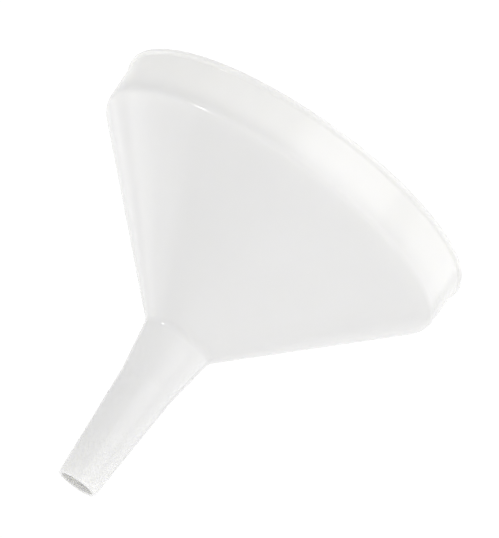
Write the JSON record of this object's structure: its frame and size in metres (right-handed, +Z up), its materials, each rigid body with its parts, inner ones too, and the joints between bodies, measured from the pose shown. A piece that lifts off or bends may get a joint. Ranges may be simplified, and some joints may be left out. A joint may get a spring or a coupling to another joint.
{
  "type": "buchner funnel",
  "caption": "Conical laboratory filter funnel in natural white plastic, with a lipped collar, a long tapered stem, and a perforated plate and sealing ring that lift out of the mouth.",
  "frame": {"origin": "on the turning axis at the stem's root, where the cone meets the stem", "axes": "+Z up the turning axis, from the stem to the mouth; +X along one of the plate's ribs"},
  "size_m": [0.2, 0.2, 0.1919],
  "materials": {
    "natural_plastic": "natural translucent polypropylene, smooth moulded skin with a soft satin gloss",
    "silicone": "translucent pale silicone, dull",
    "plate_plastic": "white moulded polypropylene, satin"
  },
  "bodies": {
    "funnel": {"funnel_body": "natural_plastic"},
    "ring": {"sealing_ring": "silicone"},
    "plate": {"perforated_plate": "plate_plastic"}
  },
  "joints": [
    {"name": "ring_lift", "type": "slide", "parent": "funnel", "child": "ring", "axis": [0, 0, 1], "range_m": [0, 0.04]},
    {"name": "plate_lift", "type": "slide", "parent": "ring", "child": "plate", "axis": [0, 0, 1], "range_m": [0, 0.05]}
  ]
}
